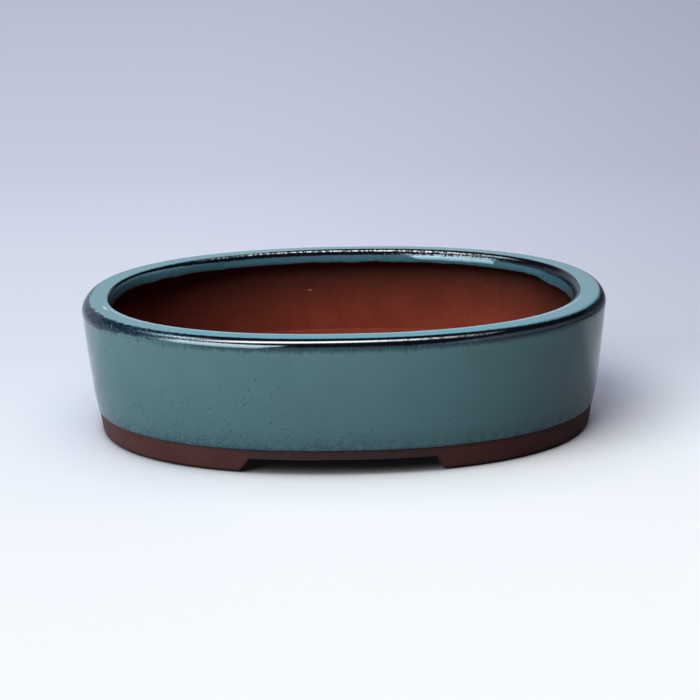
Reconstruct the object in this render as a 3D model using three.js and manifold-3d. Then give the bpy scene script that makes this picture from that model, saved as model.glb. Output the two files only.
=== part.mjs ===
// Oval bonsai pot of red-brown stoneware with a glazed outside.
// Millimetres, +Z up. The origin is on the ground under the middle of the pot,
// X runs along its length, and the front is towards -Y.
// The pot is laid out as a potter builds it: a floor slab with a foot under each end,
// a wall on its edge, a lip on the wall, a coil in the corner inside, and the glaze over all that shows.

import * as THREE from "three";
import { mergeVertices } from "three/addons/utils/BufferGeometryUtils.js";
import Module from "manifold-3d";

// Overall size, over the glazed rim
const LENGTH = 255;
const WIDTH = 200;
const HEIGHT = 65;

// Plan and side view
const OVAL_POWER = 2.27; // power of the oval's formula: 2 is an ellipse, more is squarer
const BASE_INSET = 7.4; // how far the feet stand in from the rim, all round
const WALL_SWELL = 0.5; // how far the wall bulges past a straight taper at mid height

// Clay
const WALL_THICKNESS = 7;
const FLOOR_THICKNESS = 8;
const COIL_SIZE = 6; // both legs of the coil in the corner inside
const RIM_ROUNDING = 3.2; // radius of the rim's outer edge
const LIP_WIDTH = 16.3; // from the outermost line of the rim to the lip's inner face, glaze included
const LIP_ROUNDING_ACROSS = 4; // the lip's inner edge is a quarter of an oval, this wide
const LIP_ROUNDING_UPRIGHT = 7; // and this high
const LIP_FACE = 2; // upright stretch of the lip's inner face under that edge
const LIP_SLOPE = 3; // how much lower the lip meets the wall than its inner face ends
const SLIP_FILM = 0.3; // film of slip between two joined pieces, and between clay and glaze

// Feet
const FOOT_HEIGHT = 7.3;
const FOOT_WIDTH = 16;
const FOOT_ROUNDING = 1; // radius of a foot's edges at the ground
const FOOT_GAP = 84; // gap between the feet, front and back, where they meet the floor slab
const FOOT_END_SLOPE = 5; // how far each end of a foot leans back on its way to the ground

// Glaze
const GLAZE_THICKNESS = 0.6;
const GLAZE_LINE = 11.7; // height above the ground at which the glaze stops outside
const GLAZE_RUN = 0.4; // how far the glaze runs down the lip's inner face, under its rounded edge

// Holes in the floor
const DRAIN_DIAMETER = 22;
const DRAIN_SPACING = 110;
const WIRE_DIAMETER = 5;
const WIRE_SPACING_ALONG = 70;
const WIRE_SPACING_ACROSS = 56;

// Fineness of the facets
const OVAL_STEPS = 72;
const ROUNDING_STEPS = 4;
const WALL_STEPS = 3;
const HOLE_STEPS = 24;

// Heights and depths that follow from the sizes above
const CLAY_DEPTH = GLAZE_THICKNESS + SLIP_FILM; // depth of the clay under the outer face of the glaze
const WALL_TOP = HEIGHT - RIM_ROUNDING; // where the rim's outer rounding begins
const FLOOR_TOP = FOOT_HEIGHT + FLOOR_THICKNESS;
const LIP_FACE_TOP = HEIGHT - LIP_ROUNDING_UPRIGHT; // where the lip's inner rounding ends
const LIP_FACE_BOTTOM = LIP_FACE_TOP - LIP_FACE;
const LIP_SEAM = LIP_FACE_BOTTOM - LIP_SLOPE; // where the lip sits on the wall
const ROUND_RADIUS = (LENGTH + WIDTH) / 4; // radius of the round ring that is pushed into the oval
const CUT_OVERRUN = 2; // how far a cutting tool reaches past what it cuts

const wasm = await Module();
wasm.setup();

function solidOf(geometry) {
  const bare = geometry.clone();
  bare.deleteAttribute("normal");
  bare.deleteAttribute("uv");
  const merged = mergeVertices(bare);
  const vertProperties = merged.attributes.position.array;
  const triVerts = Uint32Array.from(merged.index.array);
  return new wasm.Manifold(new wasm.Mesh({ numProp: 3, vertProperties, triVerts }));
}

function geometryOf(solid) {
  const { vertProperties, triVerts } = solid.getMesh();
  const geometry = new THREE.BufferGeometry();
  geometry.setAttribute("position", new THREE.BufferAttribute(vertProperties, 3));
  geometry.setIndex(new THREE.BufferAttribute(triVerts, 1));
  geometry.computeVertexNormals();
  return geometry;
}

// A point of a section: how far in from the rim's outermost line, and how high
function point(inset, height) {
  return new THREE.Vector2(ROUND_RADIUS - inset, height);
}

// A point of a section on the pot's upright axis
function axisPoint(height) {
  return new THREE.Vector2(0, height);
}

// How far in the outside of the pot lies at a height, at a depth under the face of the glaze
function outsideInset(depth, height) {
  const share = height / WALL_TOP;
  const taper = (BASE_INSET - CLAY_DEPTH) * (1 - share);
  const bow = 4 * share * (1 - share); // a parabola that is 1 at mid height
  return depth + taper - WALL_SWELL * bow;
}

// The outside of the pot between two heights, from the lower to the higher
function outsideLine(depth, low, high) {
  const line = [];
  for (let step = 0; step <= WALL_STEPS; step += 1) {
    const height = low + ((high - low) * step) / WALL_STEPS;
    line.push(point(outsideInset(depth, height), height));
  }
  return line;
}

// A quarter of a round or an oval about a centre, starting at an angle
function quarterRound(centreInset, centreHeight, across, upright, fromAngle) {
  const line = [];
  for (let step = 0; step <= ROUNDING_STEPS; step += 1) {
    const angle = fromAngle + (Math.PI / 2) * (step / ROUNDING_STEPS);
    line.push(point(centreInset - across * Math.cos(angle), centreHeight + upright * Math.sin(angle)));
  }
  return line;
}

// The rim over both its rounded edges, from outside to inside, at a depth under the face of the glaze
function rimLine(depth) {
  const radius = RIM_ROUNDING - depth;
  const across = LIP_ROUNDING_ACROSS - depth;
  const upright = LIP_ROUNDING_UPRIGHT - depth;
  const lipCentre = LIP_WIDTH - LIP_ROUNDING_ACROSS;
  const outerEdge = quarterRound(RIM_ROUNDING, WALL_TOP, radius, radius, 0);
  const innerEdge = quarterRound(lipCentre, LIP_FACE_TOP, across, upright, Math.PI / 2);
  return [...outerEdge, ...innerEdge];
}

// Carries a round ring to the oval plan: every point keeps its distance in from the rim
function pushOval(geometry) {
  const places = geometry.attributes.position;
  const ovalPart = (part) => Math.sign(part) * Math.abs(part) ** (2 / OVAL_POWER);
  for (let index = 0; index < places.count; index += 1) {
    const radius = Math.hypot(places.getX(index), places.getY(index));
    if (radius > 0) {
      const inset = ROUND_RADIUS - radius;
      places.setX(index, (LENGTH / 2 - inset) * ovalPart(places.getX(index) / radius));
      places.setY(index, (WIDTH / 2 - inset) * ovalPart(places.getY(index) / radius));
    }
  }
  return geometry;
}

// A section taken all round the oval
function ovalRing(section) {
  const geometry = new THREE.LatheGeometry(section, OVAL_STEPS);
  geometry.rotateX(Math.PI / 2);
  return pushOval(geometry);
}

function closed(section) {
  return [...section, section[0]];
}

// Upright round cutter through the floor slab
function holeCutter(diameter, x, y) {
  const height = FLOOR_THICKNESS + 2 * CUT_OVERRUN;
  const geometry = new THREE.CylinderGeometry(diameter / 2, diameter / 2, height, HOLE_STEPS);
  geometry.rotateX(Math.PI / 2);
  geometry.translate(x, y, FOOT_HEIGHT + FLOOR_THICKNESS / 2);
  return solidOf(geometry);
}

function floorSlab() {
  const section = [
    axisPoint(FOOT_HEIGHT),
    point(outsideInset(CLAY_DEPTH, FOOT_HEIGHT), FOOT_HEIGHT),
    point(outsideInset(CLAY_DEPTH, FLOOR_TOP), FLOOR_TOP),
    axisPoint(FLOOR_TOP),
  ];
  let slab = solidOf(ovalRing(section));
  for (const end of [-1, 1]) {
    slab = slab.subtract(holeCutter(DRAIN_DIAMETER, (end * DRAIN_SPACING) / 2, 0));
    for (const side of [-1, 1]) {
      const x = (end * WIRE_SPACING_ALONG) / 2;
      const y = (side * WIRE_SPACING_ACROSS) / 2;
      slab = slab.subtract(holeCutter(WIRE_DIAMETER, x, y));
    }
  }
  return geometryOf(slab);
}

function wallBand() {
  const bottom = FLOOR_TOP + SLIP_FILM;
  const top = LIP_SEAM - SLIP_FILM;
  const outside = outsideLine(CLAY_DEPTH, bottom, top);
  const inside = outsideLine(CLAY_DEPTH + WALL_THICKNESS, bottom, top).reverse();
  return ovalRing(closed([...outside, ...inside]));
}

function rimLip() {
  const section = [
    point(outsideInset(CLAY_DEPTH, LIP_SEAM), LIP_SEAM),
    ...rimLine(CLAY_DEPTH),
    point(LIP_WIDTH - CLAY_DEPTH, LIP_FACE_BOTTOM),
    point(outsideInset(CLAY_DEPTH + WALL_THICKNESS, LIP_SEAM), LIP_SEAM),
  ];
  return ovalRing(closed(section));
}

function seamCoil() {
  const bottom = FLOOR_TOP + SLIP_FILM;
  const top = bottom + COIL_SIZE;
  const wallDepth = CLAY_DEPTH + WALL_THICKNESS + SLIP_FILM;
  const corner = outsideInset(wallDepth, bottom);
  const round = quarterRound(corner + COIL_SIZE, top, COIL_SIZE, COIL_SIZE, -Math.PI / 2);
  const hollow = round.slice(1, -1).reverse();
  const section = [
    point(corner, bottom),
    point(outsideInset(wallDepth, top), top),
    ...hollow,
    point(corner + COIL_SIZE, bottom),
  ];
  return ovalRing(closed(section));
}

// Both feet in one ring, before the gap between them is cut
function footRing() {
  const top = FOOT_HEIGHT - SLIP_FILM;
  const outerEdge = outsideInset(CLAY_DEPTH, FOOT_ROUNDING);
  const inside = outerEdge + FOOT_WIDTH;
  const section = [
    ...quarterRound(inside - FOOT_ROUNDING, FOOT_ROUNDING, FOOT_ROUNDING, FOOT_ROUNDING, Math.PI),
    ...quarterRound(outerEdge + FOOT_ROUNDING, FOOT_ROUNDING, FOOT_ROUNDING, FOOT_ROUNDING, -Math.PI / 2),
    point(outsideInset(CLAY_DEPTH, top), top),
    point(inside, top),
  ];
  return solidOf(ovalRing(closed(section)));
}

// Cutter for the gap: a bar right through the pot from front to back, wider at the ground
function footGapCutter() {
  const slope = FOOT_END_SLOPE / FOOT_HEIGHT;
  const low = -CUT_OVERRUN;
  const high = FOOT_HEIGHT + CUT_OVERRUN;
  const halfWidth = (height) => FOOT_GAP / 2 + slope * (FOOT_HEIGHT - height);
  const outline = new THREE.Shape([
    new THREE.Vector2(-halfWidth(low), low),
    new THREE.Vector2(halfWidth(low), low),
    new THREE.Vector2(halfWidth(high), high),
    new THREE.Vector2(-halfWidth(high), high),
  ]);
  const geometry = new THREE.ExtrudeGeometry(outline, { depth: WIDTH, bevelEnabled: false });
  geometry.translate(0, 0, -WIDTH / 2);
  geometry.rotateX(Math.PI / 2);
  return solidOf(geometry);
}

// One foot: what the gap leaves of the ring at one end, -1 for the left and 1 for the right
function foot(end) {
  const half = new THREE.BoxGeometry(LENGTH, WIDTH, HEIGHT);
  half.translate((end * LENGTH) / 2, 0, 0);
  return geometryOf(footRing().subtract(footGapCutter()).intersect(solidOf(half)));
}

// One face of the glaze, from its lower edge outside to its lower edge inside the lip
function glazeLine(depth) {
  return [
    ...outsideLine(depth, GLAZE_LINE, WALL_TOP),
    ...rimLine(depth).slice(1),
    point(LIP_WIDTH - depth, LIP_FACE_TOP - GLAZE_RUN),
  ];
}

function glazeCoat() {
  return ovalRing(closed([...glazeLine(0), ...glazeLine(GLAZE_THICKNESS).reverse()]));
}

// Finishes
const clay = { color: 0x70372a, roughness: 0.85, metalness: 0 };
const glaze = { color: 0x5d8a94, roughness: 0.2, metalness: 0 };

const pot = new THREE.Group();

function addPiece(name, geometry, finish) {
  const piece = new THREE.Mesh(geometry, new THREE.MeshStandardMaterial(finish));
  piece.name = name;
  pot.add(piece);
}

addPiece("floor_slab", floorSlab(), clay);
addPiece("wall_band", wallBand(), clay);
addPiece("rim_lip", rimLip(), clay);
addPiece("seam_coil", seamCoil(), clay);
addPiece("foot_left", foot(-1), clay);
addPiece("foot_right", foot(1), clay);
addPiece("glaze_coat", glazeCoat(), glaze);

export default pot;
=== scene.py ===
# %% [markdown]
# This lesson builds an oval pot of the kind that bonsai are planted in: red-brown stoneware under a
# blue-green glaze. A packed model of it fixes every size, so the lesson starts by loading that model.
# The boxes of its pieces then give the sizes that the finer pieces are drawn to.

# %% The packed model and its boxes
import math
from functools import partialmethod

import bpy
from mathutils import Matrix, Vector


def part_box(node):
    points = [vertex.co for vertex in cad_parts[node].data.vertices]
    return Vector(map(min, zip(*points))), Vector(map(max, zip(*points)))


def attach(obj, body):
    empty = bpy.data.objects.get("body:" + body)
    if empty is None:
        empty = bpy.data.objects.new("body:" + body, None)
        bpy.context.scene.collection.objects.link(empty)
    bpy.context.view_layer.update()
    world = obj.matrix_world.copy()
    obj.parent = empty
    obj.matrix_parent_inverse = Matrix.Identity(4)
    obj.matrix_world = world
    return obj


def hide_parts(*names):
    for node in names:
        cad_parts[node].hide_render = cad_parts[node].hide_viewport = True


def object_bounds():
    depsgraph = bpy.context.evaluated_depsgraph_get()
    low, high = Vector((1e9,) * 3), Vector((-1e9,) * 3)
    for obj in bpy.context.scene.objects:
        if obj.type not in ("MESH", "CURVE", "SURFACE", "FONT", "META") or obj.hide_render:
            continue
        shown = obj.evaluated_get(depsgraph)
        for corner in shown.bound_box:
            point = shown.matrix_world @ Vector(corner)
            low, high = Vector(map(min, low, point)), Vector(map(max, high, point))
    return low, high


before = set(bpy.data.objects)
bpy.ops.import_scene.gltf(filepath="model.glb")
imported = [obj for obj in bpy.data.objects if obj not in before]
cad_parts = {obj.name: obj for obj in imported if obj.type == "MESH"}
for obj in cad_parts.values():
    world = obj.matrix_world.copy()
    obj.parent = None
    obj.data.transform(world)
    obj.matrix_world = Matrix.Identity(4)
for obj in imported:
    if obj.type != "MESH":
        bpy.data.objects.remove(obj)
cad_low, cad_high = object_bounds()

MM = 0.001
HALF_LENGTH = cad_high.x
HALF_WIDTH = cad_high.y
HEIGHT = cad_high.z
print(f"the pot is {2 * HALF_LENGTH:.4f} m long, {2 * HALF_WIDTH:.4f} m wide and {HEIGHT:.4f} m high")

# %% [markdown]
# A potter builds this pot from a floor slab, a wall, a strip for the lip and two feet, and glazes it last.
# The heights at which those pieces meet come from the boxes of the packed pieces. What a box can't tell,
# such as how far an edge is rounded, is named here once.

# %% Heights and roundings
SLAB_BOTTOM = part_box("floor_slab")[0].z
SLAB_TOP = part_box("floor_slab")[1].z
LIP_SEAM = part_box("rim_lip")[0].z
GLAZE_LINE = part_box("glaze_coat")[0].z
OVAL_POWER = 2.27
BASE_INSET = 7.4 * MM
WALL_SWELL = 0.5 * MM
WALL_THICKNESS = 7.0 * MM
GLAZE_THICKNESS = 0.9 * MM
RIM_ROUNDING = 4.8 * MM
RIM_DROP = 0.15 * MM
WALL_TOP = HEIGHT - RIM_DROP - RIM_ROUNDING
LIP_WIDTH = 15.9 * MM
LIP_ROUND_ACROSS = 3.7 * MM
LIP_ROUND_DOWN = 7.6 * MM
LIP_NARROWING = 1.4 * MM
print(f"floor top {SLAB_TOP:.4f} m, lip seam {LIP_SEAM:.4f} m, glaze line {GLAZE_LINE:.4f} m")

# %% [markdown]
# Seen from above, the pot is fuller than an ellipse and rounder than a box, which is a superellipse.
# It could be typed in as a formula. By hand it is quicker: a plane's four corners are bevelled until they
# meet at the middles of its sides, and the bevel's profile value sets how full the curve is.

# %% The oval outline
CORNER_STEPS = 80
OVAL_PROFILE = 2 ** (-2 / OVAL_POWER)
MERGE_DISTANCE = 0.001 * MM


def add_plane(name, size=1, place=(0, 0, 0)):
    """Adds a square face and names it."""
    bpy.ops.object.select_all(action="DESELECT")
    bpy.ops.mesh.primitive_plane_add(size=size, calc_uvs=False, location=place)
    piece = bpy.context.object
    piece.name = name
    piece.data.name = name
    return piece


def oval_face(name, inset, height):
    """Adds an oval face that lies inset from the pot's greatest outline, and stays in edit mode."""
    piece = add_plane(name)
    bpy.ops.object.mode_set(mode="EDIT")
    bpy.ops.mesh.select_all(action="SELECT")
    sides = (2 * (HALF_LENGTH - inset), 2 * (HALF_WIDTH - inset), 1)
    bpy.ops.transform.resize(value=sides, center_override=(0, 0, 0))
    bpy.ops.mesh.bevel(
        affect="VERTICES", offset_type="PERCENT", offset_pct=50,
        segments=CORNER_STEPS, profile=OVAL_PROFILE,
    )
    bpy.ops.mesh.remove_doubles(threshold=MERGE_DISTANCE)
    bpy.ops.mesh.select_all(action="SELECT")
    bpy.ops.transform.translate(value=(0, 0, height))
    return piece


print(f"each oval has {4 * CORNER_STEPS} points, and its bevel profile is {OVAL_PROFILE:.3f}")

# %% [markdown]
# Every ring-shaped piece is a section carried round the oval. A section is a list of points, and a point
# says how far in from the outline and how high it lies. Extruding the outline's edges, then scaling and
# lifting the new ones, draws the ring up point by point, as a potter pulls a wall. The lip is a little
# narrower along the sides of the pot than at its ends, so the ring can be told to give way there.

# %% Rings drawn up from a section
NARROW_START = 8.8 * MM
NARROW_FULL = LIP_WIDTH - LIP_ROUND_ACROSS


def ease(share):
    """A soft step from 0 to 1."""
    share = min(max(share, 0.0), 1.0)
    return share * share * (3 - 2 * share)


def half_width(inset, narrowing):
    """Half the width of the oval at an inset."""
    return HALF_WIDTH - inset + narrowing * ease((inset - NARROW_START) / (NARROW_FULL - NARROW_START))


def move_ring(old, new, narrowing=0.0):
    """Scales and lifts the selected oval from one section point to the next."""
    shrink_x = (HALF_LENGTH - new[0]) / (HALF_LENGTH - old[0])
    shrink_y = half_width(new[0], narrowing) / half_width(old[0], narrowing)
    bpy.ops.transform.resize(value=(shrink_x, shrink_y, 1), center_override=(0, 0, 0))
    bpy.ops.transform.translate(value=(0, 0, new[1] - old[1]))


def close_ring():
    """Joins the first and last rows of a drawn-up ring, and turns its faces outwards."""
    bpy.ops.mesh.select_mode(type="EDGE")
    bpy.ops.mesh.select_all(action="DESELECT")
    bpy.ops.mesh.select_non_manifold(
        extend=False, use_wire=False, use_boundary=True,
        use_multi_face=False, use_non_contiguous=False, use_verts=False,
    )
    bpy.ops.mesh.bridge_edge_loops()
    bpy.ops.mesh.select_all(action="SELECT")
    bpy.ops.mesh.normals_make_consistent(inside=False)


def drawn_ring(name, section, run_name=None, narrowing=0.0):
    """Carries a closed section round the oval. run_name names an attribute for the way along the section."""
    piece = oval_face(name, *section[0])
    bpy.ops.mesh.delete(type="ONLY_FACE")
    bpy.ops.mesh.select_all(action="SELECT")
    if run_name:
        bpy.ops.geometry.attribute_add(name=run_name, domain="POINT", data_type="FLOAT")
    run = 0.0
    for old, new in zip(section, section[1:]):
        bpy.ops.mesh.extrude_edges_move()
        move_ring(old, new, narrowing)
        run += math.dist(old, new)
        if run_name:
            bpy.ops.mesh.attribute_set(value_float=run)
    close_ring()
    bpy.ops.object.mode_set(mode="OBJECT")
    print(f"{name} has {len(piece.data.polygons)} faces, from {len(section)} section points")
    return piece


print(f"the lip narrows between {NARROW_START / MM:.1f} and {NARROW_FULL / MM:.1f} mm in from the rim")

# %% [markdown]
# All outer faces follow one line: from the base the wall flares outwards, with a slight swell halfway up.
# Clay lies one glaze thickness behind that line, so the same helper serves glaze and clay. Round edges
# are arcs whose points are found with a cosine and a sine.

# %% Lines and arcs of the sections
def outside_inset(depth, height):
    """How far in from the outline the outside lies at a height, depth behind the glazed face."""
    share = height / WALL_TOP
    taper = (BASE_INSET - GLAZE_THICKNESS) * (1 - share)
    return depth + taper - WALL_SWELL * 4 * share * (1 - share)


def spread(start, end, steps):
    """Numbers from start to end in even steps."""
    return [start + (end - start) * step / steps for step in range(steps + 1)]


def outside_line(depth, start, end, steps):
    """Section points along the outside from one height to another."""
    return [(outside_inset(depth, height), height) for height in spread(start, end, steps)]


def arc(centre, across, upright, start, end, steps):
    """Section points on part of an oval arc, with angles in degrees from inwards up to upwards."""
    angles = [math.radians(angle) for angle in spread(start, end, steps)]
    return [(centre[0] + across * math.cos(a), centre[1] + upright * math.sin(a)) for a in angles]


def without_repeats(points):
    """Leaves out each point that lies on the one before it."""
    kept = [points[0]]
    for point in points[1:]:
        if math.dist(point, kept[-1]) > MERGE_DISTANCE:
            kept.append(point)
    return kept


print(f"the base is {outside_inset(GLAZE_THICKNESS, 0) / MM:.2f} mm in from the rim")

# %% [markdown]
# The glaze is glass that melted and ran, so its coat is drawn as a skin of its own. It starts as a rolled
# edge on the bare band, climbs the wall, turns over the rim and ends on the inner face of the lip. Its
# hidden side follows the clay, a hair below its face, so that no gap shows.

# %% Section of the glaze coat
EDGE_ROLL = 0.5 * MM
FULL_COAT_HEIGHT = 9.0 * MM
CLAY_BITE = 0.1 * MM
COAT_DROP = 6.6 * MM
COAT_END = HEIGHT - COAT_DROP
RIM_FLAT = (RIM_ROUNDING, LIP_WIDTH - LIP_ROUND_ACROSS)
LIP_CENTRE = (LIP_WIDTH - LIP_ROUND_ACROSS, HEIGHT - LIP_ROUND_DOWN)
ROLL_STEPS = 5
CLIMB_STEPS = 30
FACE_STEPS = 18
BACK_STEPS = 6


def rim_section(depth, steps):
    """The rim from the top of the wall over both roundings, depth behind the glazed face."""
    outer = arc((RIM_ROUNDING, WALL_TOP), depth - RIM_ROUNDING, RIM_ROUNDING - depth, 0, 90, steps)
    flat = []
    for share in spread(0, 1, steps // 2):
        inset = RIM_FLAT[0] + (RIM_FLAT[1] - RIM_FLAT[0]) * share
        flat.append((inset, HEIGHT - depth - RIM_DROP * (1 - share)))
    inner = arc(LIP_CENTRE, LIP_ROUND_ACROSS - depth, LIP_ROUND_DOWN - depth, 90, 0, steps)
    return outer, flat, inner


def coat_depth(height):
    """The coat is thin at its lower edge, and full a little way up."""
    return (GLAZE_THICKNESS - EDGE_ROLL) * (1 - ease((height - GLAZE_LINE) / FULL_COAT_HEIGHT))


roll = []
for degrees in spread(0, 90, ROLL_STEPS):
    angle = math.radians(degrees)
    height = GLAZE_LINE + EDGE_ROLL * (1 - math.cos(angle))
    roll.append((outside_inset(GLAZE_THICKNESS - EDGE_ROLL * math.sin(angle), height), height))
climb_heights = spread(roll[-1][1], WALL_TOP, CLIMB_STEPS)
climb = [(outside_inset(coat_depth(height), height), height) for height in climb_heights]
outer_round, rim_flat, inner_round = rim_section(0, FACE_STEPS)
inner_round = [point for point in inner_round if point[1] > COAT_END + EDGE_ROLL]
roll_centre = (inner_round[-1][0] - EDGE_ROLL, COAT_END + EDGE_ROLL)
inner_roll = arc(roll_centre, EDGE_ROLL, EDGE_ROLL, 0, -90, ROLL_STEPS)
coat_front = without_repeats(roll + climb + outer_round + rim_flat + inner_round + inner_roll)
behind = GLAZE_THICKNESS + CLAY_BITE
back_outer, back_flat, back_inner = rim_section(behind, BACK_STEPS)
back_inner = [point for point in back_inner if point[1] > COAT_END]
back_wall = outside_line(behind, GLAZE_LINE, WALL_TOP, BACK_STEPS)
coat_back = [(LIP_WIDTH - behind, COAT_END)] + (back_wall + back_outer + back_flat + back_inner)[::-1]
coat_section = without_repeats(coat_front + coat_back)
print(f"{len(coat_front)} points along the face of the coat and {len(coat_back)} behind it")

# %% [markdown]
# The section is now carried round the oval. The colour of a glaze depends on how far it ran, so an
# attribute keeps the way along the section. A UV map could hold it too, but an attribute needs no seams.

# %% The glaze coat
glaze_coat = drawn_ring("glaze_coat_skin", coat_section, "run", LIP_NARROWING)

# %% [markdown]
# On the pot the glaze breaks to black exactly where the rim turns. The finish asks for those places
# later, so they are measured here, on the section itself, and follow it when a size is changed.

# %% Where the coat turns
def run_to(point):
    """The way along the face of the coat to the section point nearest to this one."""
    nearest = min(range(len(coat_front)), key=lambda index: math.dist(coat_front[index], point))
    return sum(math.dist(a, b) for a, b in zip(coat_front[:nearest], coat_front[1:nearest + 1]))


OUTER_ROUND_START = run_to(outer_round[0])
OUTER_ROUND_END = run_to(outer_round[-1])
INNER_ROUND_START = run_to(inner_round[0])
INNER_ROUND_END = run_to(inner_round[-1])
print(f"outer rounding from {OUTER_ROUND_START:.4f} to {OUTER_ROUND_END:.4f} m along the coat")
print(f"inner rounding from {INNER_ROUND_START:.4f} to {INNER_ROUND_END:.4f} m along the coat")

# %% [markdown]
# A melted coat never stops on a ruled line. Displace modifiers move the two edges of the skin up and down
# a little, by a cloud pattern, and a vertex group holds the rest still. On the real pot the inner edge
# hangs lowest at the right end of the opening, so a third one follows.

# %% Uneven edges of the coat
OUTER_FADE = 5.0 * MM
INNER_FADE = 5.0 * MM
LINE_WAVE = 0.4 * MM
LINE_WAVE_SIZE = 14.0 * MM
INNER_WAVE = 1.6 * MM
INNER_WAVE_SIZE = 10.0 * MM
HANG_DEPTH = 2.4 * MM
HANG_START = 97.0 * MM
HANG_FULL = 105.0 * MM
MID_GREY = 0.5


def is_inside(point):
    """Whether a point lies further in than the middle of the flat rim."""
    inset = sum(RIM_FLAT) / 2
    along = abs(point.x) / (HALF_LENGTH - inset)
    across = abs(point.y) / (HALF_WIDTH - inset)
    return along ** OVAL_POWER + across ** OVAL_POWER < 1


def displace(piece, name, weight, strength, texture=None, mid_level=0.0, direction="Z"):
    """Moves vertices along one axis, each by its weight, which is a function of its place."""
    group = piece.vertex_groups.new(name=name)
    for vertex in piece.data.vertices:
        group.add([vertex.index], weight(vertex.co), "REPLACE")
    bpy.context.view_layer.objects.active = piece
    modifier = piece.modifiers.new(name, "DISPLACE")
    modifier.direction = direction
    modifier.vertex_group = name
    modifier.strength = strength
    modifier.mid_level = mid_level
    if texture:
        modifier.texture = texture
        modifier.texture_coords = "LOCAL"
    bpy.ops.object.modifier_apply(modifier=modifier.name)


def cloud_pattern(name, size):
    """A cloud texture for a modifier."""
    texture = bpy.data.textures.new(name, "CLOUDS")
    texture.noise_scale = size
    texture.noise_depth = 2
    return texture


def outer_weight(point):
    """Full at the lower edge of the coat."""
    return 0.0 if is_inside(point) else 1 - ease((point.z - GLAZE_LINE) / OUTER_FADE)


def inner_weight(point):
    """Full at the inner edge of the coat."""
    return 1 - ease((point.z - COAT_END) / INNER_FADE) if is_inside(point) else 0.0


def hang_weight(point):
    """Full at the inner edge, at the right end only."""
    return ease((point.x - HANG_START) / (HANG_FULL - HANG_START)) * inner_weight(point)


line_wave = cloud_pattern("line_wave", LINE_WAVE_SIZE)
inner_wave = cloud_pattern("inner_wave", INNER_WAVE_SIZE)
displace(glaze_coat, "outer_edge", outer_weight, LINE_WAVE, line_wave, MID_GREY)
displace(glaze_coat, "inner_edge", inner_weight, INNER_WAVE, inner_wave, MID_GREY)
displace(glaze_coat, "hanging_edge", hang_weight, -HANG_DEPTH)
lowest_inside = min(v.co.z for v in glaze_coat.data.vertices if is_inside(v.co))
print(f"inside, the coat reaches down to {lowest_inside:.4f} m")

# %% [markdown]
# The wall is a band of clay of even thickness that stands on the edge of the floor slab. It is drawn up
# on the outside and down on the inside. Its outer face ends where the lip is joined on.

# %% The clay wall
WALL_STEPS = 10
wall_out = outside_line(GLAZE_THICKNESS, SLAB_TOP, LIP_SEAM, WALL_STEPS)
wall_in = outside_line(GLAZE_THICKNESS + WALL_THICKNESS, LIP_SEAM, SLAB_TOP, WALL_STEPS)
wall = drawn_ring("clay_wall", wall_out + wall_in)

# %% [markdown]
# The lip is a strip laid on the wall and pressed inwards, so that the rim is flat and wide. Under the
# glaze it follows the coat. Its nose is rounded below, and a hollow curve leads back to the wall.

# %% The clay lip
NOSE_ROUNDING = 1.2 * MM
NOSE_DROP = 7.6 * MM
NOSE_BOTTOM = HEIGHT - NOSE_DROP
SIDE_STEPS = 4
LIP_STEPS = 10
NOSE_STEPS = 8
lip_out = outside_line(GLAZE_THICKNESS, LIP_SEAM, WALL_TOP, SIDE_STEPS)
lip_over, lip_flat, lip_inner = rim_section(GLAZE_THICKNESS, LIP_STEPS)
lip_inner = [point for point in lip_inner if point[1] > NOSE_BOTTOM + NOSE_ROUNDING]
nose_centre = (LIP_WIDTH - GLAZE_THICKNESS - NOSE_ROUNDING, NOSE_BOTTOM + NOSE_ROUNDING)
nose = arc(nose_centre, NOSE_ROUNDING, NOSE_ROUNDING, 0, -90, NOSE_STEPS)
seam_inset = outside_inset(GLAZE_THICKNESS + WALL_THICKNESS, LIP_SEAM)
under_centre = (nose_centre[0], LIP_SEAM)
lip_under = arc(under_centre, seam_inset - nose_centre[0], NOSE_BOTTOM - LIP_SEAM, 90, 0, LIP_STEPS)
lip_section = without_repeats(lip_out + lip_over + lip_flat + lip_inner + nose + lip_under)
lip = drawn_ring("clay_lip", lip_section, narrowing=LIP_NARROWING)

# %% [markdown]
# The potter pressed the lip thinner at the left end of the opening, so its inner face is steeper there.
# Coat and clay are moved outwards together, most at the inner face and not at all on the flat rim.

# %% The pressed left end
PRESS_DEPTH = 1.8 * MM
PRESS_START = -92.0 * MM
PRESS_FULL = -106.0 * MM


def press_weight(point):
    """Grows along the rounding of the lip, and fades out towards the seam and the long sides."""
    if not is_inside(point):
        return 0.0
    fallen = min((HEIGHT - point.z) / LIP_ROUND_DOWN, 1.0)
    across = math.sqrt(max(1 - (1 - fallen) ** 2, 0.0))
    above_seam = ease((point.z - LIP_SEAM) / (NOSE_BOTTOM - LIP_SEAM))
    return ease((PRESS_START - point.x) / (PRESS_START - PRESS_FULL)) * across * above_seam


for piece in (glaze_coat, lip):
    displace(piece, "pressed_end", press_weight, -PRESS_DEPTH, direction="X")
print(f"the left end is pressed out by up to {PRESS_DEPTH / MM:.1f} mm")

# %% [markdown]
# The floor is a slab cut to the oval. Two wide holes drain it, and four small ones take the wire that
# holds a tree in place. Holes are cut with Boolean modifiers, whose cutters are thrown away afterwards,
# and their sharp edges are then bevelled, because a potter wipes them with a wet finger.

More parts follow.
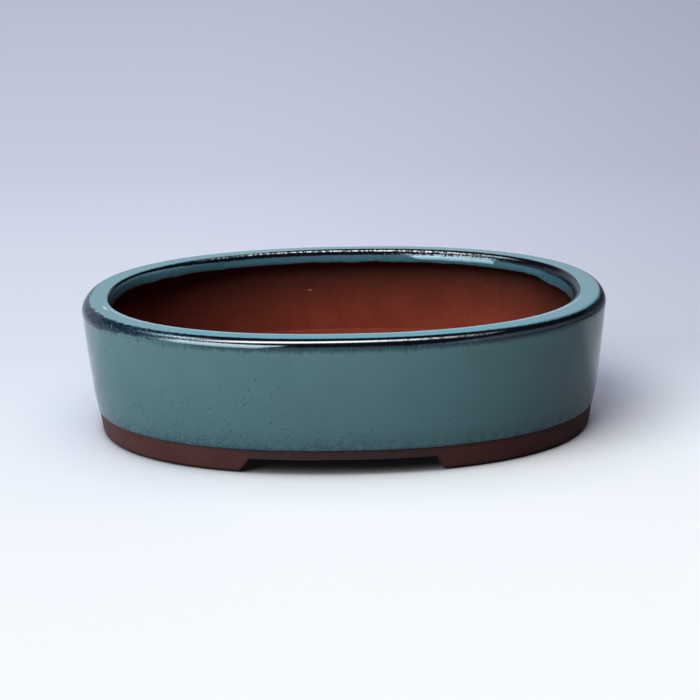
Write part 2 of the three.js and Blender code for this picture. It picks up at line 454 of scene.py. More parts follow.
# %% The floor slab and its holes
DRAIN_RADIUS = 11.0 * MM
DRAIN_OFFSET = 55.0 * MM
WIRE_RADIUS = 2.5 * MM
WIRE_OFFSET = (35.0 * MM, 28.0 * MM)
HOLE_STEPS = 48
HOLE_TOLERANCE = 10 * MERGE_DISTANCE
HOLE_WIPE = 0.9 * MM
WIPE_STEPS = 3
DRAINS = [(side * DRAIN_OFFSET, 0.0, DRAIN_RADIUS) for side in (-1, 1)]
WIRES = [(i * WIRE_OFFSET[0], j * WIRE_OFFSET[1], WIRE_RADIUS) for i in (-1, 1) for j in (-1, 1)]


def cut_hole(piece, x, y, radius):
    """Cuts an upright round hole through the slab."""
    bpy.ops.object.select_all(action="DESELECT")
    middle = (x, y, (SLAB_BOTTOM + SLAB_TOP) / 2)
    depth = 2 * (SLAB_TOP - SLAB_BOTTOM)
    bpy.ops.mesh.primitive_cylinder_add(vertices=HOLE_STEPS, radius=radius, depth=depth, location=middle)
    cutter = bpy.context.object
    bpy.context.view_layer.objects.active = piece
    modifier = piece.modifiers.new("hole", "BOOLEAN")
    modifier.operation = "DIFFERENCE"
    modifier.object = cutter
    bpy.ops.object.modifier_apply(modifier=modifier.name)
    bpy.data.objects.remove(cutter)


def on_hole(edge, mesh, holes):
    """Whether an edge runs round one of the holes, at the top or the bottom of the slab."""
    ends = [mesh.vertices[index].co for index in edge.vertices]
    if abs(ends[0].z - ends[1].z) > MERGE_DISTANCE:
        return False
    for x, y, radius in holes:
        if all(abs(math.hypot(end.x - x, end.y - y) - radius) < HOLE_TOLERANCE for end in ends):
            return True
    return False


slab = oval_face("clay_floor", outside_inset(GLAZE_THICKNESS, SLAB_BOTTOM), SLAB_BOTTOM)
slab_edge = outside_line(GLAZE_THICKNESS, SLAB_BOTTOM, SLAB_TOP, 1)
bpy.ops.mesh.extrude_region_move()
move_ring(*slab_edge)
bpy.ops.mesh.select_all(action="SELECT")
bpy.ops.mesh.normals_make_consistent(inside=False)
bpy.ops.object.mode_set(mode="OBJECT")
for hole in DRAINS + WIRES:
    cut_hole(slab, *hole)
for edge in slab.data.edges:
    edge.select = on_hole(edge, slab.data, DRAINS + WIRES)
wiped = sum(edge.select for edge in slab.data.edges)
for vertex in slab.data.vertices:
    vertex.select = False
for polygon in slab.data.polygons:
    polygon.select = False
bpy.ops.object.mode_set(mode="EDIT")
bpy.ops.mesh.select_mode(type="EDGE")
bpy.ops.mesh.bevel(offset=HOLE_WIPE, segments=WIPE_STEPS)
bpy.ops.object.mode_set(mode="OBJECT")
print(f"{len(DRAINS)} drain holes and {len(WIRES)} wire holes, with {wiped} edges wiped round")

# %% [markdown]
# Where wall and floor meet, a thin coil of clay is pressed into the corner to seal the seam. Its face is
# a hollow quarter circle that runs out on the wall and on the floor.

# %% The seam coil
COIL_SIZE = 6.0 * MM
COIL_EDGE = 0.2 * MM
COIL_STEPS = 8
coil_in = outside_inset(GLAZE_THICKNESS + WALL_THICKNESS, SLAB_TOP)
coil_top = outside_inset(GLAZE_THICKNESS + WALL_THICKNESS, SLAB_TOP + COIL_SIZE)
coil_centre = (coil_in + COIL_SIZE, SLAB_TOP + COIL_SIZE)
hollow = arc(coil_centre, -COIL_SIZE, -COIL_SIZE, 90, 0, COIL_STEPS)
coil_foot = (coil_in, SLAB_TOP - COIL_EDGE)
coil_toe = (coil_in + COIL_SIZE, SLAB_TOP - COIL_EDGE)
coil = drawn_ring("clay_coil", [coil_foot, coil_toe] + hollow[:-1] + [(coil_top, SLAB_TOP + COIL_SIZE)])

# %% [markdown]
# The feet are one ring of clay under the edge of the slab, cut through at the front and the back. Each cut
# slopes, the left one a little more, so the gap is widest on the ground. A Boolean could cut it. Bisect is
# simpler: it cuts the ring with a plane and fills the cut, and a small bevel then rounds the new edges, as
# a sponge does.

# %% The two feet
FOOT_WIDTH = 16.0 * MM
FOOT_ROUNDING = 2.0 * MM
GAP_HALF_TOP = 42.0 * MM
GAP_HALF_GROUND = {-1: 48.0 * MM, 1: 46.0 * MM}
FOOT_END_ROUNDING = 0.7 * MM
FOOT_STEPS = 4
SPONGE_STEPS = 3
FLAT_TOLERANCE = 1e-6
foot_outer = outside_inset(GLAZE_THICKNESS, FOOT_ROUNDING)
foot_inner = outside_inset(GLAZE_THICKNESS, SLAB_BOTTOM) + FOOT_WIDTH
outer_centre = (foot_outer + FOOT_ROUNDING, FOOT_ROUNDING)
inner_centre = (foot_inner - FOOT_ROUNDING, FOOT_ROUNDING)
sole_outer = arc(outer_centre, -FOOT_ROUNDING, -FOOT_ROUNDING, 0, 90, FOOT_STEPS)
sole_inner = arc(inner_centre, FOOT_ROUNDING, -FOOT_ROUNDING, 90, 0, FOOT_STEPS)
foot_side = outside_line(GLAZE_THICKNESS, SLAB_BOTTOM, FOOT_ROUNDING, FOOT_STEPS)
foot_section = without_repeats(foot_side + sole_outer + sole_inner + [(foot_inner, SLAB_BOTTOM)])


def pick(piece):
    """Selects one piece alone and makes it the active one."""
    bpy.ops.object.select_all(action="DESELECT")
    piece.select_set(True)
    bpy.context.view_layer.objects.active = piece


def cut_foot(piece, side):
    """Keeps the part of the ring on one side of the gap, and rounds the edges of the cut."""
    pick(piece)
    bpy.ops.object.mode_set(mode="EDIT")
    bpy.ops.mesh.select_mode(type="FACE")
    bpy.ops.mesh.select_all(action="SELECT")
    slope = (GAP_HALF_GROUND[side] - GAP_HALF_TOP) / SLAB_BOTTOM
    cut_normal = Vector((-side, 0, -slope)).normalized()
    bpy.ops.mesh.bisect(
        plane_co=(side * GAP_HALF_TOP, 0, SLAB_BOTTOM), plane_no=cut_normal,
        use_fill=True, clear_outer=True,
    )
    bpy.ops.mesh.select_all(action="DESELECT")
    bpy.ops.object.mode_set(mode="OBJECT")
    for polygon in piece.data.polygons:
        polygon.select = polygon.normal.dot(cut_normal) > 1 - FLAT_TOLERANCE
    bpy.ops.object.mode_set(mode="EDIT")
    bpy.ops.mesh.region_to_loop()
    bpy.ops.mesh.bevel(offset=FOOT_END_ROUNDING, segments=SPONGE_STEPS)
    bpy.ops.object.mode_set(mode="OBJECT")


foot_left = drawn_ring("clay_foot_left", foot_section)
pick(foot_left)
bpy.ops.object.duplicate(linked=False)
foot_right = bpy.context.object
foot_right.name = "clay_foot_right"
foot_right.data.name = "clay_foot_right"
cut_foot(foot_left, -1)
cut_foot(foot_right, 1)
for foot in (foot_left, foot_right):
    xs = [vertex.co.x for vertex in foot.data.vertices]
    print(f"{foot.name} runs from {min(xs):.4f} to {max(xs):.4f} m")

# %% [markdown]
# Materials are built from nodes. Writing each by hand takes many lines, so a small class wraps a socket
# and lets Python's own signs add Math nodes. A number may stand on either side, so 1 - mask works too.

# %% Wires to reckon with
class Wire:
    """An output socket of a shader node. Sums and products of wires add Math nodes."""

    def __init__(self, finish, socket):
        self.finish = finish
        self.socket = socket

    def maths(self, operation, other, swapped=False):
        """Adds a Math node for this wire and another wire or a number."""
        inputs = {0: other, 1: self} if swapped else {0: self, 1: other}
        return self.finish.node("ShaderNodeMath", {"operation": operation}, inputs)

    __add__ = partialmethod(maths, "ADD")
    __radd__ = partialmethod(maths, "ADD")
    __sub__ = partialmethod(maths, "SUBTRACT")
    __rsub__ = partialmethod(maths, "SUBTRACT", swapped=True)
    __mul__ = partialmethod(maths, "MULTIPLY")
    __rmul__ = partialmethod(maths, "MULTIPLY")
    __truediv__ = partialmethod(maths, "DIVIDE")
    at_least = partialmethod(maths, "MAXIMUM")
    above = partialmethod(maths, "GREATER_THAN")

    def without_sign(self):
        """How far a number is from 0."""
        return self.at_least(0 - self)


print(f"Wire: {Wire.__doc__}")

# %% [markdown]
# A second class is the board that the wires run on: the nodes of a material or of the world. One method
# adds any node. It sets the node up, feeds its sockets and hands back an output as a wire.

# %% A board of nodes
class Board:
    """The nodes of a material or of a world, and the way to add one."""

    def __init__(self, name, library=bpy.data.materials):
        self.block = library.new(name)
        self.block.use_nodes = True
        self.tree = self.block.node_tree
        self.tree.nodes.clear()

    def node(self, kind, settings, inputs, output=0):
        """Adds a node, sets it up, feeds its sockets and returns one of its outputs."""
        node = self.tree.nodes.new(kind)
        for name, value in settings.items():
            if name == "stops":
                self.set_stops(node.color_ramp, value)
            else:
                setattr(node, name, value)
        for name, value in inputs.items():
            if isinstance(value, Wire):
                self.tree.links.new(value.socket, node.inputs[name])
            else:
                node.inputs[name].default_value = value
        return Wire(self, node.outputs[output])

    def set_stops(self, ramp, stops):
        """Gives a ramp its places and colours, and lets it run through them on a smooth curve."""
        ramp.interpolation = "CARDINAL"
        while len(ramp.elements) < len(stops):
            ramp.elements.new(1.0)
        for element, (position, shade) in zip(ramp.elements, stops):
            element.position = position
            element.color = shade

    def end_in(self, surface, kind="ShaderNodeOutputMaterial"):
        """Ends the nodes in a surface."""
        end = self.tree.nodes.new(kind)
        self.tree.links.new(surface.socket, end.inputs["Surface"])


print(f"Board: {Board.__doc__}")

# %% [markdown]
# A finish asks for the same nodes again and again: a place on the piece, a noise, a soft step, a layer of
# colour. A third class gives each a short name, so that a pattern reads like a recipe.

# %% Short names for a finish
class Finish(Board):
    """A board with short names for what a finish is made of."""

    def place(self):
        """The place on the piece, in metres."""
        return self.node("ShaderNodeTexCoord", {}, {}, "Object")

    def axes(self, vector):
        """A vector's three coordinates."""
        return [self.node("ShaderNodeSeparateXYZ", {}, {"Vector": vector}, name) for name in "XYZ"]

    def channels(self, shade):
        """A colour's three channels."""
        names = ("Red", "Green", "Blue")
        return [self.node("ShaderNodeSeparateColor", {}, {"Color": shade}, name) for name in names]

    def ray(self, kind):
        """1 for rays of this kind, such as those from the camera."""
        return self.node("ShaderNodeLightPath", {}, {}, kind)

    def seen(self, gloss_share):
        """1 for rays from the camera or through glass, and this share for rays from mirrors."""
        clear = self.ray("Is Camera Ray").at_least(self.ray("Is Transmission Ray"))
        return clear.at_least(gloss_share * self.ray("Is Glossy Ray"))

    def drawn_out(self, vector, share):
        """A place whose height counts only by this share, which draws a pattern out upwards."""
        sockets = {"Vector": vector, "Scale": (1.0, 1.0, share)}
        return self.node("ShaderNodeMapping", {"vector_type": "POINT"}, sockets)

    def noise(self, vector, size, detail=2.0, rough=0.5, output=0):
        """Soft noise whose lumps are about this many metres across."""
        sockets = {"Vector": vector, "Scale": 1 / size, "Detail": detail, "Roughness": rough}
        return self.node("ShaderNodeTexNoise", {}, sockets, output)

    def step(self, value, low, high):
        """0 below low, 1 above high, and a soft step between them."""
        sockets = {"Value": value, "From Min": low, "From Max": high}
        return self.node("ShaderNodeMapRange", {"interpolation_type": "SMOOTHSTEP"}, sockets)

    def fade(self, value, low, high):
        """1 below low, 0 above high, and a soft step between them."""
        return 1 - self.step(value, low, high)

    def mix(self, share, first, second):
        """A colour between two colours."""
        settings = {"data_type": "RGBA", "clamp_factor": True}
        return self.node("ShaderNodeMix", settings, {0: share, 6: first, 7: second}, 2)

    def layered(self, base, *layers):
        """Lays colours over a base, one after the other, each by its share."""
        for share, shade in layers:
            base = self.mix(share, base, shade)
        return base

    def bump(self, height, distance, strength=1.0):
        """A normal that makes a pattern look raised."""
        sockets = {"Strength": strength, "Distance": distance, "Height": height}
        return self.node("ShaderNodeBump", {}, sockets, "Normal")

    def surface(self, base, roughness, normal, **constants):
        """A surface of the Principled kind."""
        sockets = {"Base Color": base, "Roughness": roughness, "Normal": normal, **constants}
        return self.node("ShaderNodeBsdfPrincipled", {}, sockets)


print(f"Finish: {Finish.__doc__}")

# %% [markdown]
# Nodes reckon with amounts of light, while a screen codes its colours on a curve. Colours are easiest to
# read off a screen, so one helper takes them from there. Two more blend numbers and count nodes.

# %% Colours, blends and counts
def colour(red, green, blue):
    """A colour as read off a screen, from 0 to 255, as the linear colour of nodes, by the sRGB standard."""
    def linear(value):
        share = value / 255
        return share / 12.92 if share <= 0.04045 else ((share + 0.055) / 1.055) ** 2.4
    return (linear(red), linear(green), linear(blue), 1.0)


def blend(first, second, share):
    """A number between two numbers."""
    return first + (second - first) * share


def count_nodes(what, finish):
    """Says how many nodes there are so far."""
    print(f"{what}: {len(finish.tree.nodes)} nodes")


print(f"a mid grey on the screen is {colour(128, 128, 128)[0]:.3f} in the nodes")

# %% [markdown]
# The clay is a red-brown stoneware. Inside it is matt and warm, with painted shade under the lip, at the
# right end and on the left side. The bare band and the feet came out browner, with a slight sheen, and a
# painted shade makes them greyest over the gap. Both are one body of clay, so one finish serves both and
# changes over at the top of the slab. Fine grog shows as dark and pale grains.

# %% The colours of the clay
CLAY_WARM = colour(135, 60, 45)
CLAY_DEEP = colour(125, 54, 40)
PAINTED_SHADE_BROWN = colour(46, 36, 32)
PAINTED_END_SHADE = colour(40, 16, 11)
BAND_BROWN = colour(100, 64, 61)
BAND_DARK = colour(92, 57, 55)
GAP_SHADE_BROWN = colour(78, 57, 60)
GRAIN_DARK = colour(66, 36, 31)
GRAIN_PALE = colour(156, 96, 76)
SOFT_BLOTCH = (0.35, 0.65)
SHADE_UNDER_LIP = (22 * MM, HEIGHT)
SHADE_AT_RIGHT_END = (88 * MM, 112 * MM)
SHADE_ON_LEFT_SIDE = (-100 * MM, 10 * MM)
GAP_SHADE_EDGE = (GAP_HALF_TOP - 8 * MM, GAP_HALF_TOP + 8 * MM)
INSIDE_EDGE = (SLAB_TOP - 0.4 * MM, SLAB_TOP - 0.1 * MM)

clay = Finish("bare_red_brown_clay")
clay_place = clay.place()
clay_x, clay_y, clay_z = clay.axes(clay_place)
blotches = clay.step(clay.noise(clay_place, 18 * MM, 3.0), *SOFT_BLOTCH)
# Painted shade darkens the inside under the lip, at the right end and on the left side.
inside_clay = clay.layered(
    clay.mix(blotches, CLAY_DEEP, CLAY_WARM),
    (0.95 * clay.step(clay_z, *SHADE_UNDER_LIP), PAINTED_SHADE_BROWN),
    (0.6 * clay.step(clay_x, *SHADE_AT_RIGHT_END), PAINTED_END_SHADE),
    (0.28 * clay.fade(clay_x, *SHADE_ON_LEFT_SIDE), PAINTED_SHADE_BROWN),
)
# Painted shade: the band is darkened over the gap between the feet.
shade_over_gap = clay.fade(clay_x.without_sign(), *GAP_SHADE_EDGE)
band_clay = clay.layered(clay.mix(blotches, BAND_DARK, BAND_BROWN), (shade_over_gap, GAP_SHADE_BROWN))
inside = clay.step(clay_z, *INSIDE_EDGE)
fine = clay.noise(clay_place, 0.7 * MM, 2.0, 0.6)
grains = clay.noise(clay_place, 1.3 * MM, 1.0)
body = clay.layered(
    clay.mix(inside, band_clay, inside_clay),
    (0.3 * clay.step(grains, 0.60, 0.72), GRAIN_DARK),
    (0.1 * clay.step(1 - grains, 0.62, 0.74), GRAIN_PALE),
)
count_nodes("the colours of the clay", clay)

# %% [markdown]
# One pale crumb sticks to the inner wall at the back. It is too small to be worth a mesh, so it is an oval
# of colour. The surface is rough, more so inside than on the band, and the grog makes a light bump.

# %% A crumb, and the surface of the clay
CRUMB_PALE = colour(160, 108, 98)
CRUMB_PLACE = (-19.8 * MM, 42.6 * MM)
CRUMB_HALF_SIZE = (1.3 * MM, 0.55 * MM)
CRUMB_EDGE = (0.2, 1.4)
BAND_ROUGHNESS = 0.55
INSIDE_ROUGHER = 0.25
BAND_SHEEN = 0.2
SHEEN_ROUGHNESS = 0.4
CLAY_IOR = 1.1
GROG_HEIGHT = 0.3 * MM

crumb_x = (clay_x - CRUMB_PLACE[0]) / CRUMB_HALF_SIZE[0]
crumb_z = (clay_z - CRUMB_PLACE[1]) / CRUMB_HALF_SIZE[1]
off_crumb = crumb_x * crumb_x + crumb_z * crumb_z
crumb = clay.step(clay_y, 0.0, 1.0 * MM) * clay.fade(off_crumb, *CRUMB_EDGE)
body = clay.mix(0.8 * crumb, body, CRUMB_PALE)
clay_bump = clay.bump(fine + 0.6 * grains, GROG_HEIGHT, 0.25)
clay_roughness = BAND_ROUGHNESS + INSIDE_ROUGHER * inside + 0.08 * fine
sheen = {"Coat Weight": BAND_SHEEN * (1 - inside), "Coat Roughness": SHEEN_ROUGHNESS}
clay.end_in(clay.surface(body, clay_roughness, clay_bump, IOR=CLAY_IOR, **sheen))
count_nodes("the finished clay", clay)

# %% [markdown]
# The glaze is a blue-green glass whose colour depends on where it lies. The way along the section, kept in
# the mesh, says how far a point is from each edge of the rim. Its place says at which side of the pot it
# is, because no two sides came out of the kiln alike. Patterns of noise do the rest.

# %% Places and patterns on the glaze
glaze = Finish("blue_green_glaze")
glaze_place = glaze.place()
glaze_x, glaze_y, glaze_z = glaze.axes(glaze_place)
run = glaze.node("ShaderNodeAttribute", {"attribute_name": "run"}, {}, "Fac")
below_round = OUTER_ROUND_START - run
past_outer = run - OUTER_ROUND_END
past_inner = run - INNER_ROUND_START
above_line = glaze_z - GLAZE_LINE


def along(low, high):
    """A soft step from left to right, between two places in millimetres."""
    return glaze.step(glaze_x, low * MM, high * MM)


def across(low, high):
    """A soft step from front to back, between two places in millimetres."""
    return glaze.step(glaze_y, low * MM, high * MM)


def uneven(way, reach, pattern):
    """A way whose start wanders by half the reach to both sides."""
    return way + reach * (pattern - 0.5)


far_left = 1 - along(-118, -100)
left_thin = 1 - along(-112, -58)
rough_end = 1 - along(-95, -50)
left_half = 1 - along(-40, 15)
left_part = 1 - along(0, 90)
right_half = along(0, 40)
right_front = along(30, 85)
soft_end = along(50, 105)
at_front = 1 - across(-92, -60)
front_half = 1 - across(-55, -15)
at_back = across(70, 90)
back_left = across(0, 40) * (1 - along(-60, -5))
grit = glaze.noise(glaze_place, 0.8 * MM, 2.0, 0.6)
crumbs = glaze.noise(glaze_place, 2.0 * MM, 3.0, 0.6)
blots = glaze.noise(glaze_place, 2.2 * MM, 3.0, 0.65)
waves = glaze.noise(glaze_place, 7 * MM, 1.0)
clouds = glaze.noise(glaze_place, 22 * MM, 2.0)
drips = glaze.noise(glaze.drawn_out(glaze_place, 0.15), 1.0 * MM, 1.0)
runs = glaze.noise(glaze.drawn_out(glaze_place, 0.4), 3.2 * MM, 2.0)
patches = glaze.noise(glaze.drawn_out(glaze_place, 0.35), 3.4 * MM, 3.0, 0.6)
print(f"run goes from 0 at the lower edge to {INNER_ROUND_END:.4f} m at the inner edge")

# %% [markdown]
# The wall is palest at the top and darker towards the bottom. A thicker coat has a deeper colour, so the
# glass is bluest in the pool above the lower edge and in the one under the lip. The flat of the rim has a
# tone of its own, with painted reflection that makes it bluer at the front and paler at the back, and a
# painted highlight draws a pale line along its inner edge in front. All this could be painted on a
# picture, but layers of colour stay sharp from close by and follow a change of size.

# %% The coloured glass
GLASS = colour(107, 157, 170)
GLASS_GREEN = colour(104, 153, 165)
GLASS_DEEP = colour(85, 134, 148)
FLAT_BLUE_REFLECTION = colour(95, 166, 181)
FLAT_GREY = colour(113, 161, 172)
PALE_REFLECTION = colour(168, 206, 216)
POOL_BLUE = colour(54, 102, 130)
LIP_BLUE = colour(48, 96, 115)
FLAT_START = -1.3 * MM
EDGE_HIGHLIGHT_REACH = (-2.8 * MM, -0.8 * MM)
EDGE_HIGHLIGHT_WANDER = 2.4 * MM
DEEP_START = GLAZE_LINE - 10 * MM
POOL_REACH = (0.3 * MM, 7.5 * MM)
LIP_POOL = (3.0 * MM, 4.6 * MM)

flat_edge = past_outer + 1.5 * MM * soft_end
flat_full = 0.9 * MM * soft_end - 0.6 * MM
on_flat = glaze.step(flat_edge, FLAT_START, flat_full)
# Painted reflection: the flat is bluer at the front and paler at the back.
flat_glass = glaze.layered(FLAT_GREY, (at_front, FLAT_BLUE_REFLECTION), (0.22 * at_back, PALE_REFLECTION))
# Painted highlight: a pale line along the inner edge of the flat, in front.
painted_edge_highlight = front_half * glaze.step(uneven(past_inner, EDGE_HIGHLIGHT_WANDER, blots), *EDGE_HIGHLIGHT_REACH)
pool = glaze.fade(above_line, *POOL_REACH)
pool_depth = 0.55 * pool * glaze.step(0.6 * runs + 0.4 * blots, 0.42, 0.58)
lip_depth = (0.7 + 0.4 * blots) * (1 - 0.35 * left_thin)
glass = glaze.layered(
    GLASS,
    (glaze.step(clouds, *SOFT_BLOTCH), GLASS_GREEN),
    (0.8 * glaze.fade(glaze_z, DEEP_START, WALL_TOP), GLASS_DEEP),
    (on_flat, flat_glass),
    (0.8 * painted_edge_highlight, PALE_REFLECTION),
    (pool_depth, POOL_BLUE),
    (lip_depth * glaze.step(past_inner, *LIP_POOL), LIP_BLUE),
)
count_nodes("the coloured glass", glaze)

# %% [markdown]
# Iron in the clay bleeds into the glass. Modelled dots would be far too many, so each cell of a Voronoi
# pattern may hold one speck, and the cell's own colour decides whether it does. Specks are rare high up
# and on the right. Low down on the left they crowd, with mottles and with dust too fine to tell apart, and
# a dark hem follows the lower edge.

# %% Specks of iron
SPECK_NAVY = colour(24, 51, 80)
SPECK_PALE = colour(140, 184, 186)
SPECK_CELL = 1.15 * MM
SPECK_SHAKE = 0.8 * MM
SPECK_SIZE = 0.22
SPECK_EDGE = (0.0, 0.22)
LOW_START = 3 * MM
LOW_REACH_RIGHT = 19 * MM
LOW_REACH_LEFT = 42 * MM
DUST_REACH = (0.5 * MM, 15.0 * MM)
HEM_REACH = (0.2 * MM, 2.4 * MM)

shake = glaze.noise(glaze_place, SPECK_SHAKE, 1.0, output="Color")
shaken_sockets = {0: shake, 1: (SPECK_SHAKE, SPECK_SHAKE, SPECK_SHAKE), 2: glaze_place}
shaken = glaze.node("ShaderNodeVectorMath", {"operation": "MULTIPLY_ADD"}, shaken_sockets)
speck_cells = {"Vector": glaze.drawn_out(shaken, 0.6), "Scale": 1 / SPECK_CELL}
off_speck = glaze.node("ShaderNodeTexVoronoi", {}, speck_cells, "Distance")
cell_shade = glaze.node("ShaderNodeTexVoronoi", {}, speck_cells, "Color")
luck, size_luck, pale_luck = glaze.channels(cell_shade)
low_reach = blend(LOW_REACH_RIGHT, LOW_REACH_LEFT, left_half)
low_down = (0.7 + 0.3 * left_half) * left_part * glaze.fade(above_line, LOW_START, low_reach)
crowded = pool * (0.3 + 0.7 * left_part)
often = 0.05 * left_half + 0.36 * low_down + 0.45 * crowded
on_wall = glaze.step(below_round, 0.0, 1.0 * MM)
speck_shape = glaze.fade(off_speck - SPECK_SIZE * size_luck, *SPECK_EDGE)
specks = on_wall * often.above(luck) * speck_shape
pale_specks = crowded * (0.25 - pale_luck).above(0.0) * glaze.fade(off_speck, 0.05, 0.30)
dust = glaze.noise(glaze_place, 0.55 * MM, 1.0)
dusty = left_part * glaze.fade(uneven(above_line, 5 * MM, blots), *DUST_REACH)
dusty = dusty * glaze.step(waves, 0.36, 0.60)
hem = glaze.fade(uneven(above_line, 1.6 * MM, crumbs), *HEM_REACH)
glass = glaze.layered(
    glass,
    (0.35 * crowded * glaze.step(crumbs, 0.52, 0.68), SPECK_NAVY),
    (0.4 * hem, SPECK_NAVY),
    (0.45 * dusty * glaze.step(dust, 0.56, 0.66), SPECK_NAVY),
    (0.36 * dusty * glaze.step(1 - dust, 0.58, 0.68), SPECK_PALE),
    ((0.62 + 0.15 * pool) * specks, SPECK_NAVY),
    (0.4 * pale_specks, SPECK_PALE),
)
count_nodes("with specks", glaze)

# %% [markdown]
# On an edge the melt runs thin and breaks to brown-black. The outer edge of the rim breaks in a band, and
# so does the inner one. Under the outer band the wall is darker: a teal fringe with dark and pale drips
# hangs down there, and at the right a brown painted shade takes its place. At the left end the band turns
# navy, and small crystals grew in it. Each of these is a step along the run, with a noise to make it wander.

# %% The broken edges
BREAK_BLACK = colour(13, 17, 27)
BREAK_NAVY = colour(17, 38, 54)
STREAK_TEAL = colour(32, 74, 90)
RIGHT_SHADE_BROWN = colour(62, 38, 46)
CRYSTAL_BLUE = colour(82, 122, 144)
BAND_EDGE = (-1.9 * MM, -0.6 * MM)
EDGE_START = (-2.4 * MM, -1.0 * MM)
RIGHT_SHADE_START = (-4.6 * MM, -2.8 * MM)
RIGHT_SHADE_END = (-2.4 * MM, 0.6 * MM)
LIP_BAND_START = (-0.3 * MM, 0.3 * MM)
LIP_BAND_END = (3.9 * MM, 4.6 * MM)

wander = (0.9 * MM + 2.6 * MM * rough_end) * (blots - 0.5)
lower_edge = below_round + wander - 2.0 * MM * far_left + 1.4 * MM * right_front
below_flat = glaze.fade(flat_edge + wander, FLAT_START, flat_full)
outer_core = glaze.fade(lower_edge, *BAND_EDGE) * below_flat
on_edge = glaze.step(below_round, *EDGE_START)
# The wall is darker just under the outer band.
fringe_reach = 4.0 * MM * patches - 0.2 * MM
dark_fringe = on_edge * glaze.fade(below_round + wander, -0.6 * MM, fringe_reach)
drip_reach = 0.5 * MM + 5.0 * MM * waves
dripping = on_edge * glaze.fade(below_round, 0.4 * drip_reach, drip_reach)
dripping = dripping * (1 - right_front) * glaze.step(patches, 0.40, 0.56)
dark_drips = dripping * glaze.step(drips, 0.57, 0.69)
pale_drips = dripping * glaze.step(1 - drips, 0.60, 0.72)
# Painted shade: a brown shade under the rim at the right front.
right_shade = right_front * glaze.step(below_round, *RIGHT_SHADE_START) * glaze.fade(below_round, *RIGHT_SHADE_END)
crystals = rough_end * glaze.step(0.45 * crumbs + 0.55 * grit, 0.545, 0.625)
lip_edge = uneven(past_inner, 1.0 * MM, blots)
lip_start = lip_edge - 0.6 * MM * at_front - 1.1 * MM * back_left
lip_end = lip_edge - 0.4 * MM * soft_end + 1.7 * MM * left_thin
inner_core = glaze.step(lip_start, *LIP_BAND_START) * glaze.fade(lip_end, *LIP_BAND_END)
glass = glaze.layered(
    glass,
    ((0.9 - 0.6 * rough_end) * dark_fringe, STREAK_TEAL),
    (0.55 * dark_drips, STREAK_TEAL),
    (0.35 * pale_drips, SPECK_PALE),
    (0.8 * right_shade, RIGHT_SHADE_BROWN),
    (outer_core, glaze.mix(rough_end, BREAK_BLACK, BREAK_NAVY)),
    (0.8 * outer_core * crystals, CRYSTAL_BLUE),
    (inner_core, BREAK_BLACK),
)
count_nodes("with broken edges", glaze)

# %% [markdown]
# On the flat of the rim, at the left end, one short wrinkle in the glass catches the light. It is too
# shallow to be worth a mesh, so a slanting stroke of pale colour paints its highlight.

# %% A painted highlight on the rim
PAINTED_GLINT_PALE = colour(214, 244, 250)
GLINT_PLACE = (-113.0 * MM, -33.4 * MM)
GLINT_SLANT = 0.395
GLINT_SIDES = (0.25 * MM, 0.85 * MM)
GLINT_ENDS = (1.5 * MM, 5.0 * MM)

# Painted highlight: a pale slanting stroke on the flat at the left end.
glint_along = glaze_y - GLINT_PLACE[1]
glint_off = glaze_x - GLINT_PLACE[0] + GLINT_SLANT * glint_along
on_line = glaze.fade(glint_off.without_sign(), *GLINT_SIDES)
between_ends = glaze.fade(glint_along.without_sign(), *GLINT_ENDS)
glass = glaze.mix(0.8 * on_flat * on_line * between_ends, glass, PAINTED_GLINT_PALE)
print(f"the wrinkle is {2 * GLINT_ENDS[1] / MM:.0f} mm long")

# %% [markdown]
# Glass is smooth, so its finish is shiny with a faint swell. The broken bands are grainy: between their
# glassy grains lie dull ones that mirror nothing, which breaks the bright lines there into sparks. A Mix
# Shader lets a noise choose between the shiny surface and the dull one.

# %% The shine of the glaze
GLASS_ROUGHNESS = 0.05
DULL_ROUGHNESS = 0.6
GLASS_IOR = 1.45
NO_MIRROR_IOR = 1.0
RELIEF_HEIGHT = 0.05 * MM

edge_grit = (0.25 + 2.6 * rough_end) * outer_core + 1.6 * inner_core
relief = 0.05 * blots + 0.6 * waves + edge_grit * grit + 0.2 * dark_drips
glaze_bump = glaze.bump(relief, RELIEF_HEIGHT)
glass_roughness = GLASS_ROUGHNESS + 0.03 * outer_core + 0.2 * specks
shiny = glaze.surface(glass, glass_roughness, glaze_bump, IOR=GLASS_IOR)
dull = glaze.surface(glass, DULL_ROUGHNESS, glaze_bump, IOR=NO_MIRROR_IOR)
grainy = 0.85 * inner_core * (1 - soft_end) + 0.6 * outer_core * right_half
dull_grains = grainy * glaze.step(glaze.noise(glaze_place, 1.5 * MM, 1.0), 0.47, 0.55)
glaze.end_in(glaze.node("ShaderNodeMixShader", {}, {0: dull_grains, 1: shiny, 2: dull}))
count_nodes("the finished glaze", glaze)

# %% [markdown]
# Each piece now gets its finish, smooth shading, and the body that it rides on, and the node of the
# packed model that it stands for is hidden.

# %% Finishes and places
SMOOTH_ANGLE = math.radians(40)


def hand_in(piece, finish, node):
    """Shades a piece, gives it its material and ties it to the packed model."""
    pick(piece)
    bpy.ops.object.shade_smooth_by_angle(angle=SMOOTH_ANGLE)
    piece.data.materials.clear()
    piece.data.materials.append(finish.block)
    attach(piece, "root")
    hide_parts(node)
    print(f"{piece.name} stands for {node}, with {len(piece.data.polygons)} faces")


hand_in(glaze_coat, glaze, "glaze_coat")
clay_pieces = {
    "wall_band": wall, "rim_lip": lip, "floor_slab": slab,
    "seam_coil": coil, "foot_left": foot_left, "foot_right": foot_right,
}
for node, piece in clay_pieces.items():
    hand_in(piece, clay, node)

# %% [markdown]
# The pot stands on a seamless pale floor that falls off to a cool grey behind and to the right. Far lamps
# light all of it evenly, so that fall is in the floor's own colour. An Ambient Occlusion node tells how
# open a spot of the floor is, and deepens the shade close to the pot and between its feet.

# %% The colour of the floor
FLOOR_SIZE = 12.0
FALL_START = -0.35
FALL_END = 2.65
